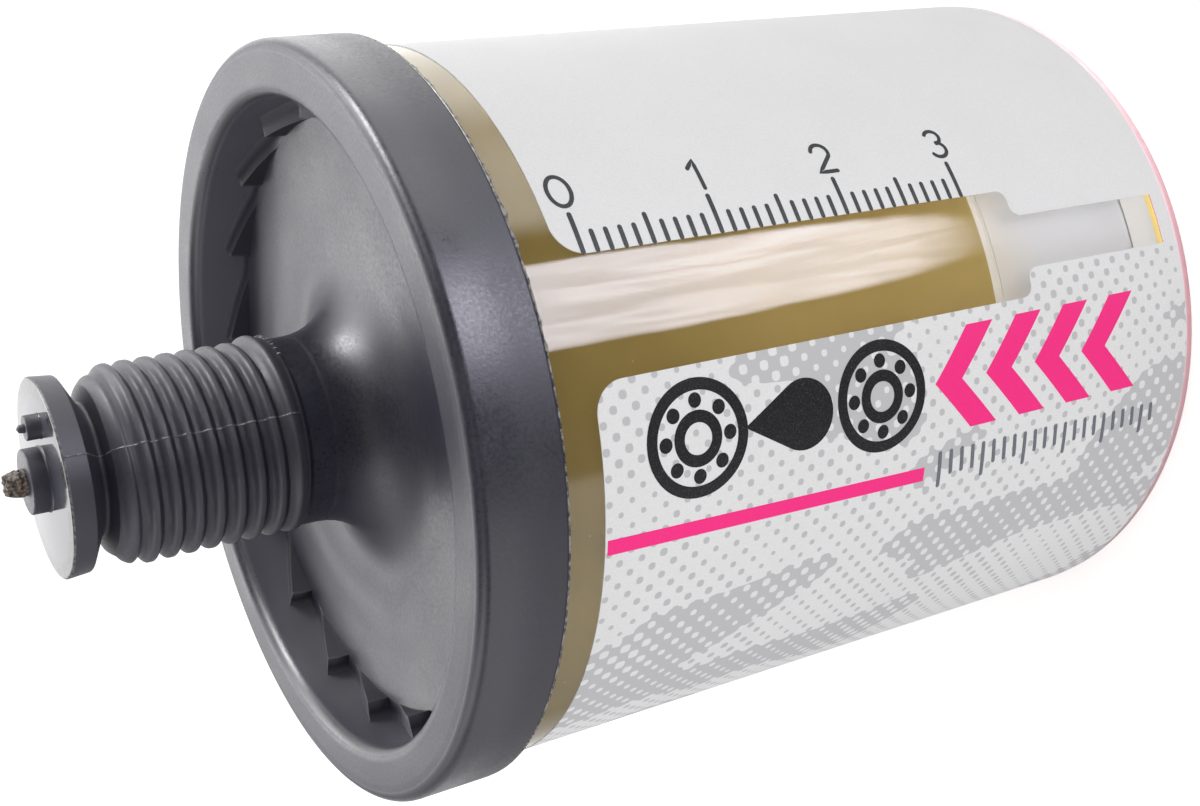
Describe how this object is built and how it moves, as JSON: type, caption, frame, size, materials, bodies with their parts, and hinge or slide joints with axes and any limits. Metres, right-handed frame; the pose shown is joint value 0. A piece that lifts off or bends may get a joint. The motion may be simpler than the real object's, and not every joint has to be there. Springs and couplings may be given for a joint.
{
  "type": "automatic lubricator",
  "caption": "Gas-driven automatic grease lubricator: clear reservoir with sliding piston, threaded outlet cap with break-off closing disc, and screw-in generator with time dial.",
  "frame": {"origin": "centre of the reservoir's rear edge, on which it stands", "axes": "+Z along the outlet axis towards the threaded nipple; -Y is the front, where the sight window and scale are"},
  "size_m": [0.052, 0.052, 0.0801],
  "materials": {
    "cap_plastic": "dark grey moulded plastic, satin",
    "clear_plastic": "clear, glossy",
    "label_film": "printed film, silver white",
    "grease": "translucent tan grease",
    "piston_plastic": "natural white, translucent",
    "seal_rubber": "pale elastomer",
    "housing_plastic": "pink moulded plastic",
    "gasket_rubber": "yellow sheet rubber",
    "dial_plastic": "black moulded plastic",
    "black_rubber": "matt",
    "spring_steel": "bright",
    "contact_brass": "bright strip",
    "board_laminate": "green laminate",
    "resistor_ceramic": "black ceramic",
    "holder_plastic": "natural white",
    "cell_steel": "nickel plated",
    "membrane_film": "white porous film"
  },
  "bodies": {
    "reservoir_unit": {"outlet_cap": "cap_plastic", "reservoir": "clear_plastic", "label": "label_film", "grease_fill": "grease"},
    "piston_unit": {"piston": "piston_plastic", "piston_seal": "seal_rubber"},
    "gasket_unit": {"head_gasket": "gasket_rubber"},
    "generator_unit": {"generator_housing": "housing_plastic", "circuit_board": "board_laminate", "resistors": "resistor_ceramic", "cell_holder": "holder_plastic", "gas_cell_1": "cell_steel", "gas_cell_2": "cell_steel", "cell_spring_1": "spring_steel", "cell_spring_2": "spring_steel", "cell_bridge": "contact_brass", "generator_lid": "holder_plastic", "vent_membrane": "membrane_film", "membrane_ring": "holder_plastic"},
    "dial_unit": {"time_dial": "dial_plastic", "dial_o_ring": "black_rubber", "dial_clip": "spring_steel", "wiper_contact": "contact_brass"}
  },
  "joints": [
    {"name": "piston_slide", "type": "slide", "parent": "reservoir_unit", "child": "piston_unit", "axis": [0, 0, 1], "range_m": [0, 0.0307], "deforming": ["grease_fill"]},
    {"name": "generator_travel", "type": "slide", "parent": "reservoir_unit", "child": "gasket_unit", "axis": [0, 0, -1], "range_m": [0, 0.004]},
    {"name": "generator_turn", "type": "hinge", "parent": "gasket_unit", "child": "generator_unit", "pos_m": [0, 0, 0], "axis": [0, 0, -1], "range_deg": [0, 720]},
    {"name": "dial_turn", "type": "hinge", "parent": "generator_unit", "child": "dial_unit", "pos_m": [0, 0, 0], "axis": [0, 0, 1], "range_deg": [0, 300]}
  ],
  "couplings": [
    {"joint": "generator_travel", "follows": "generator_turn", "m_per_rad": 0.00031831}
  ]
}
